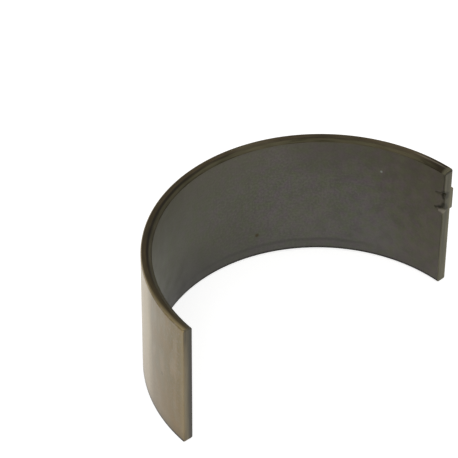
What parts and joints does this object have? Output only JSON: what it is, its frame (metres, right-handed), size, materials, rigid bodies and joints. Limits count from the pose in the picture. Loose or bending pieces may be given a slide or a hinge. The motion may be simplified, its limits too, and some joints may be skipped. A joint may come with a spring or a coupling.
{
  "type": "engine bearing shell",
  "caption": "Half-round plain bearing shell with chamfered edges, flat joint faces and a pressed locating tang; it lines half of a connecting rod's big end round the crankpin.",
  "frame": {"origin": "on the bearing axis, at the middle of the shell's width", "axes": "+Z along the bearing axis, towards the side that the tang is nearer to; +Y towards the crown; +X towards the joint face with the tang"},
  "size_m": [0.0492, 0.0238, 0.02],
  "materials": {
    "bimetal_shell": "steel back with a dull grey bonded lining, satin"
  },
  "bodies": {
    "root": {"bearing_shell": "bimetal_shell"}
  },
  "joints": []
}
